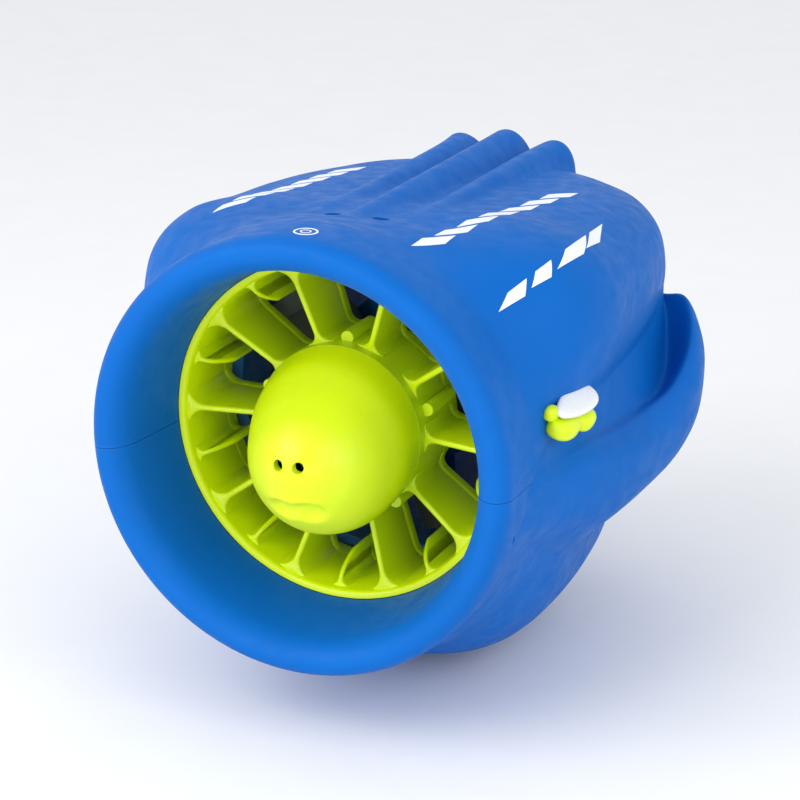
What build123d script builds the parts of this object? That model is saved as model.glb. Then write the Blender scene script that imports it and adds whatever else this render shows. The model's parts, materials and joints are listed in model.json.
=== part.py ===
from build123d import *
import os
from math import cos, radians, sin

# Underwater scooter, mm. +Z up, +Y forward (nose), +X right as the rider sees it.
# The origin is the middle of the flat keel that it rests on.

# ---- Driving dimensions -------------------------------------------------------------------
rim_r = 108.0  # opening of the guide-vane ring at the tail
axis_z = 179.0  # height of the duct axis above the ground
rim_y = -140.0  # guide-vane rim, behind the middle of the keel
wall = 4.0  # moulded shell thickness
fit_gap = 0.05  # radial clearance of running and screwed fits
part_gap = 0.2  # clearance between neighbouring mouldings
seam_z = -6.0  # parting line of the two shells, below the duct axis

ring_r = 137.0  # outside of the tail ring
ring_lip_r = 113.0  # inside of the tail ring at its lip
ring_rear_y = -62.0
duct_r = 100.0  # bore round the propeller
intake_r = 84.0  # bore at the nose
liner_wall = 3.0

stator_start = 2.2  # guide vanes, behind the propeller
stator_split = 54.0
stator_end = 66.0
stator_ring_r = 104.0
stator_outer_r = 108.8
hub_r = 54.0
vane_count = 10
vane_phase = -1.5  # degrees from straight right to the first vane
vane_thickness = 4.6

shaft_r = 6.0
prop_start = 74.0
prop_end = 110.0
prop_hub_r = 34.0
prop_tip_r = 97.0
blade_count = 5

pod_r = 58.0
pod_start = 124.0
motor_r = 38.0
motor_start = 134.0
motor_end = 196.0
nose_r = 62.0
nose_tip_y = 325.0

keel_width = 76.0
keel_length = 170.0
keel_corner = 20.0
keel_height = 14.0


# ---- Planes and shared shapes -------------------------------------------------------------
def station(y):
    """Cross-section plane at y in front of the rim, facing forward, its own y pointing up."""
    return Plane(origin=(0, rim_y + y, axis_z), x_dir=(-1, 0, 0), z_dir=(0, 1, 0))


side_plane = Plane(origin=(0, rim_y, axis_z), x_dir=(0, 1, 0), z_dir=(1, 0, 0))
duct_axis = Axis((0, rim_y, axis_z), (0, 1, 0))


def place(x, y, z):
    """A point given from the rim centre, in the part's frame."""
    return (x, rim_y + y, axis_z + z)


def turned(points):
    """A body of revolution about the duct axis, its outline as (y, radius) points."""
    with BuildPart() as body:
        with BuildSketch(side_plane):
            with BuildLine():
                Polyline(*points, close=True)
            make_face()
        revolve(axis=duct_axis)
    return body.part


def tube(y_start, y_end, r_out, r_in):
    return turned([(y_start, r_in), (y_start, r_out), (y_end, r_out), (y_end, r_in)])


def rod(start, direction, radius, length):
    """A round bar from a point, along a direction."""
    with BuildPart() as bar:
        with BuildSketch(Plane(origin=start, z_dir=direction)):
            Circle(radius)
        extrude(amount=length)
    return bar.part


def screw(start, direction, head_r, head_h, shank_r, length, recess=0.0):
    """A pan-head screw: head at start, shank along direction, with a hex recess."""
    with BuildPart() as body:
        with BuildSketch(Plane(origin=start, z_dir=direction)) as base:
            Circle(head_r)
        extrude(amount=head_h)
        with BuildSketch(base.workplanes[0].offset(head_h)):
            Circle(shank_r)
        extrude(amount=length)
        if recess > 0:
            with BuildSketch(base.workplanes[0]):
                RegularPolygon(recess, 6)
            extrude(amount=head_h / 2, mode=Mode.SUBTRACT)
    return body.part


def save(builder, node):
    builder.part.label = node
    export_step(builder.part, f"parts/{node}.step")


os.makedirs("parts", exist_ok=True)

# ---- Hull form ----------------------------------------------------------------------------
# Right half of the full hull section, top to bottom
half_section = [
    (0, 121),
    (54, 120.5),
    (102, 117),
    (132, 108),
    (148, 92),
    (153, 70),
    (150, 46),
    (141, 22),
    (134, -2),
    (135, -32),
    (133, -64),
    (122, -103),
    (107, -130),
    (90, -151),
    (64, -168),
    (33, -174.5),
    (0, -176),
]
# y, share of that section, radius of the round it blends with, width, top and bottom scales
hull_stations = [
    (-16, 0.0, ring_r - 0.5, 1.0, 1.0, 1.0),
    (10, 0.40, ring_r, 1.0, 1.04, 0.90),
    (38, 0.85, ring_r, 1.0, 1.03, 0.92),
    (75, 1.0, ring_r, 1.0, 1.01, 0.97),
    (110, 1.0, ring_r, 1.0, 1.0, 1.0),
    (162, 1.0, ring_r, 0.98, 0.985, 1.0),
    (215, 0.95, 130.0, 0.93, 0.96, 0.96),
    (250, 0.80, 118.0, 0.86, 0.94, 0.88),
    (278, 0.55, 108.0, 0.78, 0.92, 0.80),
    (295, 0.35, 101.0, 0.72, 0.90, 0.73),
]


def section_points(share, round_r, width, top, bottom, inset):
    """Closed hull outline, drawn in from the outside by inset."""
    right = []
    for x, z in half_section:
        hull_x = x * width
        hull_z = z * (top if z > 0 else bottom)
        reach = (hull_x**2 + hull_z**2) ** 0.5
        blended = share * reach + (1 - share) * round_r - inset
        right.append((hull_x / reach * blended, hull_z / reach * blended))
    left = [(-x, z) for x, z in reversed(right[1:-1])]
    return right + left


def hull_loft(inset):
    with BuildPart() as form:
        for index, (y, *shape) in enumerate(hull_stations):
            last = index == len(hull_stations) - 1
            with BuildSketch(station(y - inset if last else y)):
                with BuildLine():
                    Spline(*section_points(*shape, inset), periodic=True)
                make_face()
        loft()
    return form.part


hull_outside = hull_loft(0)
hull_inside = hull_loft(wall)
relief_gap = 0.4
hull_relief = hull_loft(-relief_gap)  # cuts the handles and switch blocks to sit on the hull

# ---- Shells: one skin, parted in two along the seam ---------------------------------------
ridge_start = 40.0
ridge_end = 266.0
ridge_base = 96.0
ridges = [(-34, 121.5), (0, 126.5), (34, 121.5)]  # across, top level above the duct axis
top_screw_x = 16.0
top_screw_y = 39.0
top_screw_seat = 121.0
boss_x = 112.0
boss_ys = (86.0, 176.0)
boss_low = -100.0
boss_seat = -44.0
boss_high = 16.0
boss_bore = 10.0  # level the screw hole reaches
boss_fin = 18.0  # from a screw post out to the wall
handle_screw_z = -30.0
handle_screws_at = [(34.0, 122.5), (200.0, 118.0)]  # y and head position across
screw_r = 2.0
harness_y = 168.0
harness_r = 107.5
wire_r = 2.0
strut_reach = duct_r - part_gap
strut_half_chord = 19.0
strut_half_thick = 4.5

with BuildPart() as skin:
    add(hull_outside)
    for ridge_x, ridge_top in ridges:
        with BuildSketch(station(ridge_start)):
            with BuildLine():
                Polyline(
                    (ridge_x - 15, ridge_base),
                    (ridge_x - 13, ridge_top - 9),
                    (ridge_x - 6, ridge_top - 1),
                    (ridge_x, ridge_top),
                    (ridge_x + 6, ridge_top - 1),
                    (ridge_x + 13, ridge_top - 9),
                    (ridge_x + 15, ridge_base),
                    close=True,
                )
            make_face()
        extrude(amount=ridge_end - ridge_start)
    add(hull_inside, mode=Mode.SUBTRACT)
    with BuildSketch(side_plane):
        with BuildLine():
            Line((-16, ring_r), (-50, ring_r))
            ThreePointArc((-50, ring_r), (ring_rear_y, 123.5), (-50, ring_lip_r))
            Polyline((-50, ring_lip_r), (stator_start - 0.2, 109), (stator_start - 0.2, 113))
            Line((stator_start - 0.2, 113), (-49, ring_lip_r + wall))
            ThreePointArc((-49, ring_lip_r + wall), (-57.5, 123.5), (-49, ring_r - wall))
            Polyline((-49, ring_r - wall), (-16, ring_r - wall), (-16, ring_r))
        make_face()
    revolve(axis=duct_axis)
    add(rod(place(0, 280, 0), (0, 1, 0), intake_r, 20), mode=Mode.SUBTRACT)
    # Screw posts under the top screws
    for across in (-top_screw_x, top_screw_x):
        add(rod(place(across, top_screw_y, 113), (0, 0, 1), 6, 12))
        add(rod(place(across, top_screw_y, top_screw_seat), (0, 0, 1), 4.2, 20), mode=Mode.SUBTRACT)
        add(rod(place(across, top_screw_y, 100), (0, 0, 1), screw_r + fit_gap, 40), mode=Mode.SUBTRACT)
    # Screw posts that draw the shells together
    for across in (-1, 1):
        for boss_y in boss_ys:
            post = place(across * boss_x, boss_y, boss_low)
            add(rod(post, (0, 0, 1), 6.5, boss_high - boss_low))
            with Locations(place(across * (boss_x + boss_fin / 2), boss_y, 5)):
                Box(boss_fin, 3, 22)
            well = place(across * boss_x, boss_y, -140)
            add(rod(well, (0, 0, 1), 4.2, 140 + boss_seat), mode=Mode.SUBTRACT)
            add(rod(post, (0, 0, 1), screw_r + fit_gap, boss_bore - boss_low), mode=Mode.SUBTRACT)
        for screw_y, head_x in handle_screws_at:
            hole = place(across * head_x, screw_y, handle_screw_z)
            add(rod(hole, (across, 0, 0), screw_r + fit_gap, 20), mode=Mode.SUBTRACT)
    # Flat keel
    with BuildSketch(Plane.XY):
        RectangleRounded(keel_width, keel_length, keel_corner)
    extrude(amount=keel_height)

seam = Plane(origin=(0, 0, axis_z + seam_z), z_dir=(0, 0, 1))
with BuildPart() as upper_shell:
    add(skin.part)
    split(bisect_by=seam, keep=Keep.TOP)
save(upper_shell, "upper_shell")

with BuildPart() as lower_shell:
    add(skin.part)
    split(bisect_by=seam.offset(-part_gap), keep=Keep.BOTTOM)
save(lower_shell, "lower_shell")

# ---- Screws in the shells -----------------------------------------------------------------
head_r = 3.8
head_h = 2.5
hex_r = 1.7
with BuildPart() as top_screws:
    for across in (-top_screw_x, top_screw_x):
        start = place(across, top_screw_y, top_screw_seat + head_h + fit_gap)
        add(screw(start, (0, 0, -1), head_r, head_h, screw_r, 8, hex_r))
save(top_screws, "top_screws")

with BuildPart() as shell_screws:
    for across in (-boss_x, boss_x):
        for boss_y in boss_ys:
            start = place(across, boss_y, boss_seat - head_h - fit_gap)
            add(screw(start, (0, 0, 1), head_r, head_h, screw_r, 52, hex_r))
save(shell_screws, "shell_screws")

with BuildPart() as handle_screws:
    for across in (-1, 1):
        for screw_y, head_x in handle_screws_at:
            start = place(across * head_x, screw_y, handle_screw_z)
            add(screw(start, (across, 0, 0), head_r, head_h, screw_r, 22, hex_r))
save(handle_screws, "handle_screws")

# ---- Duct liner: the bore that the water runs through -------------------------------------
liner_rear = 6.4
liner_front = 288.0
with BuildPart() as duct_liner:
    add(
        turned(
            [
                (liner_rear, 109),
                (68, 109),
                (73, duct_r),
                (190, duct_r),
                (liner_front, intake_r),
                (liner_front, intake_r + liner_wall),
                (190, duct_r + liner_wall),
                (73, duct_r + liner_wall),
                (68, 109 + liner_wall),
                (liner_rear, 109 + liner_wall),
            ]
        )
    )
    add(rod(place(0, harness_y, 90), (0, 0, 1), wire_r + part_gap, 20), mode=Mode.SUBTRACT)
save(duct_liner, "duct_liner")

# ---- Guide vanes behind the propeller -----------------------------------------------------
vane_rear_y = 5.0  # rear edge at the ring
vane_front_y = 63.0
hub_setback = 8.0  # how far ahead of that the rear edge meets the hub
web_bolt_r = 38.0
web_bolts = 5
fin_height = 17.0
fin_thickness = 3.0
hub_wall = 8.0
rim_flange_r = 112.6
dome_screw_x = 6.5
dome_screw_z = 0.0


def radial_plane(radius, angle, y):
    """Plane square to a radius, its x pointing forward."""
    turn = radians(angle)
    out = (cos(turn), 0, sin(turn))
    return Plane(origin=place(radius * out[0], y, radius * out[2]), x_dir=(0, 1, 0), z_dir=out)


def vane_blade(angle):
    """A flat vane from the hub to the rim."""
    with BuildPart() as vane:
        for radius, setback in [(hub_r - 4, hub_setback), (stator_ring_r + 2, 0)]:
            chord = vane_front_y - vane_rear_y - setback
            middle_y = vane_front_y - chord / 2
            with BuildSketch(radial_plane(radius, angle, middle_y)):
                SlotOverall(chord, vane_thickness)
        loft()
    return vane.part


def wall_fin(angle):
    """A short fin on the rim's inner wall, its rear corner swept round."""
    base = radial_plane(0, angle, 0)
    foot_r = stator_ring_r + 1.5
    tip_r = stator_ring_r - fin_height
    rear = (vane_rear_y, foot_r)
    bend = (vane_rear_y + 3, stator_ring_r - 6)
    tip = (vane_rear_y + 19, tip_r)
    with BuildPart() as fin:
        with BuildSketch(Plane(origin=base.origin, x_dir=(0, 1, 0), z_dir=-base.y_dir)):
            with BuildLine():
                Line(rear, bend)
                Spline(bend, tip, tangents=[(0.2, -1), (1, 0)])
                Polyline(tip, (vane_front_y - 3, tip_r + 3), (vane_front_y, foot_r), rear)
            make_face()
        extrude(amount=fin_thickness / 2, both=True)
    return fin.part


with BuildPart() as vane_cage:
    add(tube(liner_rear - 0.4, stator_end, hub_r, hub_r - hub_wall))
    add(tube(stator_start, stator_end, stator_outer_r, stator_ring_r))
    add(tube(stator_start, liner_rear - 0.4, rim_flange_r, stator_ring_r + 3))
    for index in range(vane_count):
        vane_angle = vane_phase + 360 / vane_count * index
        add(vane_blade(vane_angle))
        add(wall_fin(vane_angle + 180 / vane_count))

with BuildPart() as rear_guide_vanes:
    add(vane_cage.part)
    split(bisect_by=station(stator_split), keep=Keep.BOTTOM)
    add(tube(6, 11, hub_r - 7, 8))
    for index in range(web_bolts):
        turn = radians(90 + 360 / web_bolts * index)
        point = place(web_bolt_r * cos(turn), 0, web_bolt_r * sin(turn))
        add(rod(point, (0, 1, 0), screw_r + fit_gap, 20), mode=Mode.SUBTRACT)
    for across in (-dome_screw_x, dome_screw_x):
        add(rod(place(across, 0, dome_screw_z), (0, 1, 0), 1.6 + fit_gap, 20), mode=Mode.SUBTRACT)
save(rear_guide_vanes, "rear_guide_vanes")

with BuildPart() as front_guide_vanes:
    add(vane_cage.part)
    split(bisect_by=station(stator_split + 2 * part_gap), keep=Keep.TOP)
    add(tube(55, 65, hub_r - 7, 12 + fit_gap))
    for index in range(web_bolts):
        turn = radians(90 + 360 / web_bolts * index)
        point = place(web_bolt_r * cos(turn), 50, web_bolt_r * sin(turn))
        add(rod(point, (0, 1, 0), screw_r + fit_gap, 20), mode=Mode.SUBTRACT)
save(front_guide_vanes, "front_guide_vanes")

with BuildPart() as vane_screws:
    for index in range(web_bolts):
        turn = radians(90 + 360 / web_bolts * index)
        start = place(web_bolt_r * cos(turn), 6 - head_h - fit_gap, web_bolt_r * sin(turn))
        add(screw(start, (0, 1, 0), head_r, head_h, screw_r, 56, hex_r))
save(vane_screws, "vane_screws")

# ---- Tail dome: egg-shaped, fuller below than above ---------------------------------------
# y, level of the centre, radius
dome_stations = [
    (5.8, 0.0, 54.0),
    (-9, -5.0, 52.5),
    (-22, -9.0, 48.0),
    (-35, -10.5, 41.5),
    (-48, -9.0, 32.0),
    (-58, -7.0, 21.0),
    (-65, -4.5, 9.0),
]
dome_wall = 4.0
post_seat = -52.0


def dome_loft(inset):
    with BuildPart() as form:
        for y, level, radius in dome_stations:
            with BuildSketch(station(y + inset * 0.6 if y < 0 else y)):
                with Locations((0, level)):
                    Circle(radius - inset)
        loft()
    return form.part


with BuildPart() as tail_dome:
    add(dome_loft(0))
    add(dome_loft(dome_wall), mode=Mode.SUBTRACT)
    for across in (-dome_screw_x, dome_screw_x):
        add(rod(place(across, post_seat - 6, dome_screw_z), (0, 1, 0), 5, -post_seat + 11.8))
        add(rod(place(across, -80, dome_screw_z), (0, 1, 0), 3.4, 80 + post_seat), mode=Mode.SUBTRACT)
        add(rod(place(across, -60, dome_screw_z), (0, 1, 0), 1.6 + fit_gap, 80), mode=Mode.SUBTRACT)
save(tail_dome, "tail_dome")

with BuildPart() as dome_screws:
    for across in (-dome_screw_x, dome_screw_x):
        start = place(across, post_seat - head_h - fit_gap, dome_screw_z)
        add(screw(start, (0, 1, 0), 3.2, head_h, 1.6, 66, 1.5))
save(dome_screws, "dome_screws")

# ---- Propeller and drive ------------------------------------------------------------------
# radius, half chord, half thickness and pitch of each blade section
blade_sections = [
    (30, 19, 3.2, 50),
    (64, 24, 2.2, 33),
    (95.5, 15, 1.4, 24),
]


def propeller_blade(turn):
    out = (cos(turn), 0, sin(turn))
    along = (-sin(turn), 0, cos(turn))
    with BuildPart() as blade:
        for radius, half_chord, half_thick, pitch in blade_sections:
            centre = place(radius * out[0], (prop_start + prop_end) / 2, radius * out[2])
            with BuildSketch(Plane(origin=centre, x_dir=along, z_dir=out)):
                Ellipse(half_chord, half_thick, rotation=pitch)
        loft()
    return blade.part


with BuildPart() as propeller:
    bore = shaft_r + fit_gap
    add(
        turned(
            [
                (prop_start, bore),
                (prop_start, prop_hub_r - 5),
                (prop_start + 7, prop_hub_r),
                (prop_end, prop_hub_r),
                (prop_end, bore),
            ]
        )
    )
    for index in range(blade_count):
        turn = radians(360 / blade_count * index)
        add(propeller_blade(turn))
save(propeller, "propeller")

with BuildPart() as propeller_nut:
    with BuildSketch(station(67.5)):
        RegularPolygon(11, 6)
        Circle(shaft_r + fit_gap, mode=Mode.SUBTRACT)
    extrude(amount=5.8)
save(propeller_nut, "propeller_nut")

shaft_start = 50.0
shaft_end = 190.0
with BuildPart() as drive_shaft:
    add(rod(place(0, shaft_start, 0), (0, 1, 0), shaft_r, shaft_end - shaft_start))
save(drive_shaft, "drive_shaft")

with BuildPart() as tail_bush:
    add(tube(55, 65, 12, shaft_r + fit_gap))
save(tail_bush, "tail_bush")

with BuildPart() as shaft_seal:
    add(tube(116, 123, 16, shaft_r + fit_gap))
save(shaft_seal, "shaft_seal")

with BuildPart() as shaft_bearing:
    add(tube(124, 131, 16, shaft_r + fit_gap))
save(shaft_bearing, "shaft_bearing")

with BuildPart() as motor_can:
    add(
        turned(
            [
                (motor_start, shaft_r + 1),
                (motor_start, motor_r),
                (motor_end, motor_r),
                (motor_end, 5),
                (motor_end - 3, 5),
                (motor_end - 3, motor_r - 4),
                (motor_start + 3, motor_r - 4),
                (motor_start + 3, shaft_r + 1),
            ]
        )
    )
save(motor_can, "motor_can")

with BuildPart() as motor_magnets:
    add(tube(motor_start + 8, motor_end - 10, motor_r - 4.1, motor_r - 7))
save(motor_magnets, "motor_magnets")

with BuildPart() as motor_armature:
    add(tube(motor_start + 6, motor_end - 8, motor_r - 8, shaft_r + fit_gap))
save(motor_armature, "motor_armature")

with BuildPart() as motor_mounts:
    for mount_y in (motor_start + 4, motor_start + 44):
        add(tube(mount_y, mount_y + 6, pod_r - 4.2, motor_r + 0.1))
save(motor_mounts, "motor_mounts")

# ---- Pod: the dry tube for motor and battery ----------------------------------------------
def pod_strut(turn):
    """A rib from the pod out to the duct liner."""
    middle = (pod_r - 1 + strut_reach) / 2
    frame = Plane(
        origin=place(middle * cos(turn), harness_y, middle * sin(turn)),
        x_dir=(0, 1, 0),
        z_dir=(cos(turn), 0, sin(turn)),
    )
    with BuildPart() as strut:
        with BuildSketch(frame):
            Ellipse(strut_half_chord, strut_half_thick)
        extrude(amount=(strut_reach - pod_r + 2) / 2, both=True)
        add(tube(100, 240, 150, strut_reach), mode=Mode.SUBTRACT)
    return strut.part


with BuildPart() as pod_tube:
    add(tube(pod_start, 286, pod_r, pod_r - 4))
    for index in range(4):
        turn = radians(90 * index)
        add(pod_strut(turn))
    add(rod(place(0, harness_y, 50), (0, 0, 1), wire_r + part_gap, 60), mode=Mode.SUBTRACT)
save(pod_tube, "pod_tube")

with BuildPart() as pod_rear_cap:
    add(
        turned(
            [
                (115, 16 + fit_gap),
                (115, 38),
                (pod_start - part_gap, pod_r),
                (pod_start - part_gap, pod_r - 4.1),
                (132, pod_r - 4.1),
                (132, 16 + fit_gap),
            ]
        )
    )
save(pod_rear_cap, "pod_rear_cap")

board_y = 200.0
with BuildPart() as control_board:
    add(rod(place(0, board_y, 0), (0, 1, 0), 50, 1.6))
    for across, up in [(-22, 16), (-22, -4), (22, 14)]:
        add(rod(place(across, board_y + 1, up), (0, 1, 0), 6, 6.5))
save(control_board, "control_board")

battery_start = 209.0
battery_end = 274.0
with BuildPart() as battery_pack:
    with BuildSketch(station(battery_start)):
        Circle(50)
        with Locations((0, 50)):
            Rectangle(120, 12, mode=Mode.SUBTRACT)
    extrude(amount=battery_end - battery_start)
save(battery_pack, "battery_pack")

with BuildPart() as battery_contacts:
    for across in (-8, 8):
        add(rod(place(across, board_y + 1.7, -25), (0, 1, 0), 3, 7.2))
save(battery_contacts, "battery_contacts")

with BuildPart() as wire_harness:
    with BuildLine(station(harness_y)):
        over_duct = CenterArc((0, 0), harness_r, 16, 148)
    with BuildSketch(Plane(origin=over_duct @ 0, z_dir=over_duct % 0)):
        Circle(wire_r)
    sweep()
    add(rod(place(0, harness_y, 44), (0, 0, 1), wire_r, harness_r - 44))
save(wire_harness, "wire_harness")

# ---- Nose cap, its seal and the intake grille ---------------------------------------------
with BuildPart() as nose_cap:
    with BuildSketch(side_plane):
        with BuildLine():
            Polyline((292, 0), (292, 49), (277, 49), (277, pod_r - 4.2), (279.9, pod_r - 4.2))
            Polyline((279.9, pod_r - 4.2), (279.9, 50.2), (284.1, 50.2), (284.1, pod_r - 4.2))
            Polyline((284.1, pod_r - 4.2), (286.2, pod_r - 4.2), (286.2, nose_r), (293, nose_r))
            ThreePointArc((293, nose_r), (315, 42), (nose_tip_y, 0))
            Line((nose_tip_y, 0), (292, 0))
        make_face()
    revolve(axis=duct_axis)
    with Locations(place(0, nose_tip_y - 12, 0)):
        Box(64, 22, 12)
save(nose_cap, "nose_cap")

with BuildPart() as nose_seal:
    with BuildSketch(side_plane):
        with Locations((282, 52.05)):
            Circle(1.75)
    revolve(axis=duct_axis)
save(nose_seal, "nose_seal")

with BuildPart() as intake_grille:
    add(tube(272, 284, intake_r - 0.3, intake_r - 4))
    add(tube(274, 282, 67.5, 63.5))
    bars = 12
    for index in range(bars):
        turn = radians(360 / bars * index)
        out = (cos(turn), 0, sin(turn))
        add(rod(place(66 * out[0], 278, 66 * out[2]), out, 2.2, 16))
save(intake_grille, "intake_grille")

# ---- Handles: a wing on each side with a finger slot --------------------------------------
# y, level, reach across and half height of each section
handle_stations = [
    (-12, -26, 32, 15),
    (15, -28, 40, 22),
    (54, -32, 56, 26),
    (119, -24, 68, 28),
    (184, -14, 72, 30),
    (221, -4, 60, 30),
    (245, 0, 34, 20),
]
handle_root = 104.0
slot_x = 145.0
slot_y = 154.0
slot_length = 94.0
slot_width = 21.0

with BuildPart() as handle_right:
    for y, level, reach, half_height in handle_stations:
        with BuildSketch(station(y)):
            with Locations((-handle_root, level)):
                Ellipse(reach, half_height)
    loft()
    add(hull_relief, mode=Mode.SUBTRACT)
    with BuildSketch(Plane(origin=place(slot_x, slot_y, -80), x_dir=(0, 1, 0), z_dir=(0, 0, 1))):
        SlotOverall(slot_length, slot_width)
    extrude(amount=160, mode=Mode.SUBTRACT)
    for screw_y, head_x in handle_screws_at:
        hole = place(head_x, screw_y, handle_screw_z)
        add(rod(hole, (1, 0, 0), screw_r + fit_gap, 26), mode=Mode.SUBTRACT)
save(handle_right, "handle_right")

with BuildPart() as handle_left:
    mirror(handle_right.part, about=Plane.YZ)
save(handle_left, "handle_left")

# ---- Thumb levers -------------------------------------------------------------------------
lever_x = 153.0
block_low = 8.0
block_top = 22.0
block_y = 40.0
block_length = 46.0
pivot_y = 25.0
pivot_z = block_top - 4.5
pin_r = 1.5
lever_low = block_top + 3.0
lever_top = lever_low + 4.0
lever_y = 42.0
spring_y = 44.0
reed_y = 54.0
reed_z = block_top - 6.0

with BuildPart() as switch_block_right:
    base_plane = Plane(origin=place(lever_x - 7, block_y, block_low), x_dir=(0, 1, 0), z_dir=(0, 0, 1))
    with BuildSketch(base_plane):
        SlotOverall(block_length, 28)
    extrude(amount=block_top - block_low)
    add(hull_relief, mode=Mode.SUBTRACT)
    with Locations(place(lever_x, pivot_y + 0.5, block_top - 4)):
        Box(6, 13, 10, mode=Mode.SUBTRACT)
    add(rod(place(130, pivot_y, pivot_z), (1, 0, 0), pin_r + fit_gap, 40), mode=Mode.SUBTRACT)
    add(rod(place(lever_x, spring_y, block_top - 8), (0, 0, 1), 4.2, 20), mode=Mode.SUBTRACT)
    add(rod(place(130, reed_y, reed_z), (1, 0, 0), 1.4, 40), mode=Mode.SUBTRACT)
save(switch_block_right, "switch_block_right")

with BuildPart() as thumb_lever_right:
    with BuildSketch(Plane(origin=place(lever_x, lever_y, lever_low), z_dir=(0, 0, 1))):
        Ellipse(9, 26)
    extrude(amount=lever_top - lever_low)
    tang_low = pivot_z - 3.5
    with Locations(place(lever_x, pivot_y, (lever_low + tang_low) / 2)):
        Box(5.6, 7, lever_low - tang_low)
    add(rod(place(lever_x - 9, pivot_y, pivot_z), (1, 0, 0), pin_r + fit_gap, 20), mode=Mode.SUBTRACT)
    add(rod(place(lever_x, reed_y, lever_low), (0, 0, 1), 2.6, 2.5), mode=Mode.SUBTRACT)
save(thumb_lever_right, "thumb_lever_right")

with BuildPart() as lever_pin_right:
    add(rod(place(lever_x - 6, pivot_y, pivot_z), (1, 0, 0), pin_r, 13))
save(lever_pin_right, "lever_pin_right")

with BuildPart() as lever_magnet_right:
    add(rod(place(lever_x, reed_y, lever_low + 0.1), (0, 0, 1), 2.5, 2.2))
save(lever_magnet_right, "lever_magnet_right")

with BuildPart() as reed_switch_right:
    add(rod(place(lever_x - 7, reed_y, reed_z), (1, 0, 0), 1.3, 11))
save(reed_switch_right, "reed_switch_right")

with BuildPart() as lever_spring_right:
    spring_foot = place(lever_x, spring_y, block_top - 7.2)
    with BuildLine(Plane(origin=spring_foot)):
        coil = Helix(pitch=2.2, height=9.2, radius=2.8)
    with BuildSketch(Plane(origin=coil @ 0, z_dir=coil % 0)):
        Circle(0.45)
    sweep()
save(lever_spring_right, "lever_spring_right")

right_side = {
    "switch_block_left": switch_block_right,
    "thumb_lever_left": thumb_lever_right,
    "lever_pin_left": lever_pin_right,
    "lever_magnet_left": lever_magnet_right,
    "reed_switch_left": reed_switch_right,
    "lever_spring_left": lever_spring_right,
}
for node, original in right_side.items():
    with BuildPart() as opposite:
        mirror(original.part, about=Plane.YZ)
    save(opposite, node)
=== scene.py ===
"""Looks of the underwater scooter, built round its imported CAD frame. Lengths below are in mm
and are measured from the rim centre of the guide vanes: x to the right, y forward, z up."""

import math
import json

import bmesh
import bpy
import numpy as np
from mathutils import Matrix, Vector

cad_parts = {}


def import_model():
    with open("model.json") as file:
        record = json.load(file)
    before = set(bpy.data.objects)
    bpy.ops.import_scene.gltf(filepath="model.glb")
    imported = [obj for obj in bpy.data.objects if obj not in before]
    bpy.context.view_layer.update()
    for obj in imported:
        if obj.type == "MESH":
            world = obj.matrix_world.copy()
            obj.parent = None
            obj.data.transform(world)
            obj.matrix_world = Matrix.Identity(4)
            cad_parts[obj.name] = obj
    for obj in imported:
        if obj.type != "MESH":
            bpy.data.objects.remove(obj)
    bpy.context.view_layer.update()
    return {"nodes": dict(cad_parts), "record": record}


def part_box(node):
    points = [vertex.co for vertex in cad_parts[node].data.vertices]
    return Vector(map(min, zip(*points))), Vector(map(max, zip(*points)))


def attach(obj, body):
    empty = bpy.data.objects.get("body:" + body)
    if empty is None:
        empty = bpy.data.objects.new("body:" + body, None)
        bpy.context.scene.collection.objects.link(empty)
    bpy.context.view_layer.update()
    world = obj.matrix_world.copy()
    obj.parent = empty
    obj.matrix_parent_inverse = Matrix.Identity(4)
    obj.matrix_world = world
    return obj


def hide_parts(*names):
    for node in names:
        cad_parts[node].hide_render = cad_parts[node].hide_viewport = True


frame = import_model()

# ---- Places taken from the frame ----------------------------------------------------------
MM = 0.001
ring_lo, ring_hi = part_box("rear_guide_vanes")
STATOR_START = 2.2
RIM = Vector((0, ring_lo.y - STATOR_START * MM, (ring_lo.z + ring_hi.z) / 2))
RIM_R = 108.0


def world(points):
    """Points in mm from the rim centre, as metres in the frame."""
    return np.asarray(points, float) * MM + np.array(RIM)


# ---- Curves -------------------------------------------------------------------------------
def hermite(xs, ys, x):
    """Smooth curve through (xs, ys), with slopes from the neighbours; ys may be rows."""
    xs = np.asarray(xs, float)
    ys = np.asarray(ys, float)
    flat = ys.ndim == 1
    if flat:
        ys = ys[:, None]
    steps = np.diff(xs)[:, None]
    chords = np.diff(ys, axis=0) / steps
    slopes = np.empty_like(ys)
    slopes[1:-1] = (chords[:-1] * steps[1:] + chords[1:] * steps[:-1]) / (steps[1:] + steps[:-1])
    slopes[0], slopes[-1] = chords[0], chords[-1]
    x = np.clip(np.asarray(x, float), xs[0], xs[-1])
    k = np.clip(np.searchsorted(xs, x, side="right") - 1, 0, len(xs) - 2)
    h = steps[k]
    t = ((x - xs[k]) / steps[k, 0])[:, None]
    value = (
        (1 + 2 * t) * (1 - t) ** 2 * ys[k]
        + t * (1 - t) ** 2 * h * slopes[k]
        + t**2 * (3 - 2 * t) * ys[k + 1]
        + t**2 * (t - 1) * h * slopes[k + 1]
    )
    return value[:, 0] if flat else value


def closed_curve(points, samples):
    """Smooth closed curve through the points, evenly stepped between them."""
    points = np.asarray(points, float)
    count = len(points)
    wrapped = np.vstack([points[-2:], points, points[:3]])
    t = np.linspace(0, count, samples, endpoint=False)
    return hermite(np.arange(-2, count + 3), wrapped, t)


def open_curve(points, samples):
    """Points along a smooth open curve."""
    points = np.asarray(points, float)
    return hermite(np.arange(len(points)), points, np.linspace(0, len(points) - 1, samples))


def soft_max(a, b, width):
    """The larger of a and b, rounded over width where they cross."""
    return (a + b + np.sqrt((a - b) ** 2 + width**2)) / 2


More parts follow.
